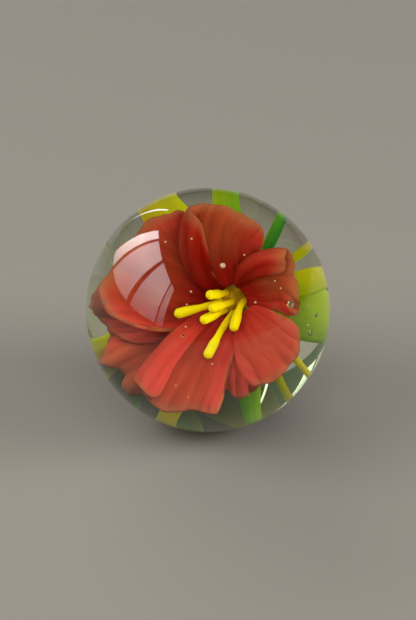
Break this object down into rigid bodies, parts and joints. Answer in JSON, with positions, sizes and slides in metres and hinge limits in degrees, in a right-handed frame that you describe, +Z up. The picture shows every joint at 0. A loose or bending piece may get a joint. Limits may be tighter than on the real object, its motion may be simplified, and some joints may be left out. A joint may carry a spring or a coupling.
{
  "type": "glass marble",
  "caption": "Clear solid glass ball with a red glass flower, yellow stamens and green leaves sealed inside.",
  "frame": {"origin": "centre of the glass ball", "axes": "+Z up as the marble lies in the picture; the flower looks out along -Y and upwards, +X to its right"},
  "size_m": [0.03, 0.03, 0.03],
  "materials": {
    "clear_glass": "fire-polished clear glass with a faint green tint and a few seed bubbles",
    "petal_red": "red glass, dense at the rims and browner where it is thin, with fine streaks",
    "leaf_green": "translucent yellow-green to deep green glass",
    "heart_green": "dark green glass",
    "stamen_yellow": "opaque bright yellow glass"
  },
  "bodies": {
    "root": {"clear_glass": "clear_glass", "flower_heart": "heart_green", "petal_upper": "petal_red", "petal_upper_right": "petal_red", "petal_right": "petal_red", "petal_bottom": "petal_red", "petal_lower_left": "petal_red", "petal_left_back": "petal_red", "petal_left": "petal_red", "petal_upper_left": "petal_red", "leaf_top_left": "leaf_green", "leaf_top": "leaf_green", "leaf_top_right": "leaf_green", "leaf_tip_right": "leaf_green", "leaf_right_high": "leaf_green", "leaf_right": "leaf_green", "leaf_right_low": "leaf_green", "leaf_bottom_right": "leaf_green", "leaf_bottom": "leaf_green", "leaf_bottom_left": "leaf_green", "leaf_left": "leaf_green", "stamen_long": "stamen_yellow", "stamen_upper": "stamen_yellow", "stamen_middle": "stamen_yellow", "stamen_fork": "stamen_yellow", "stamen_low": "stamen_yellow", "stamen_short": "stamen_yellow"}
  },
  "joints": []
}
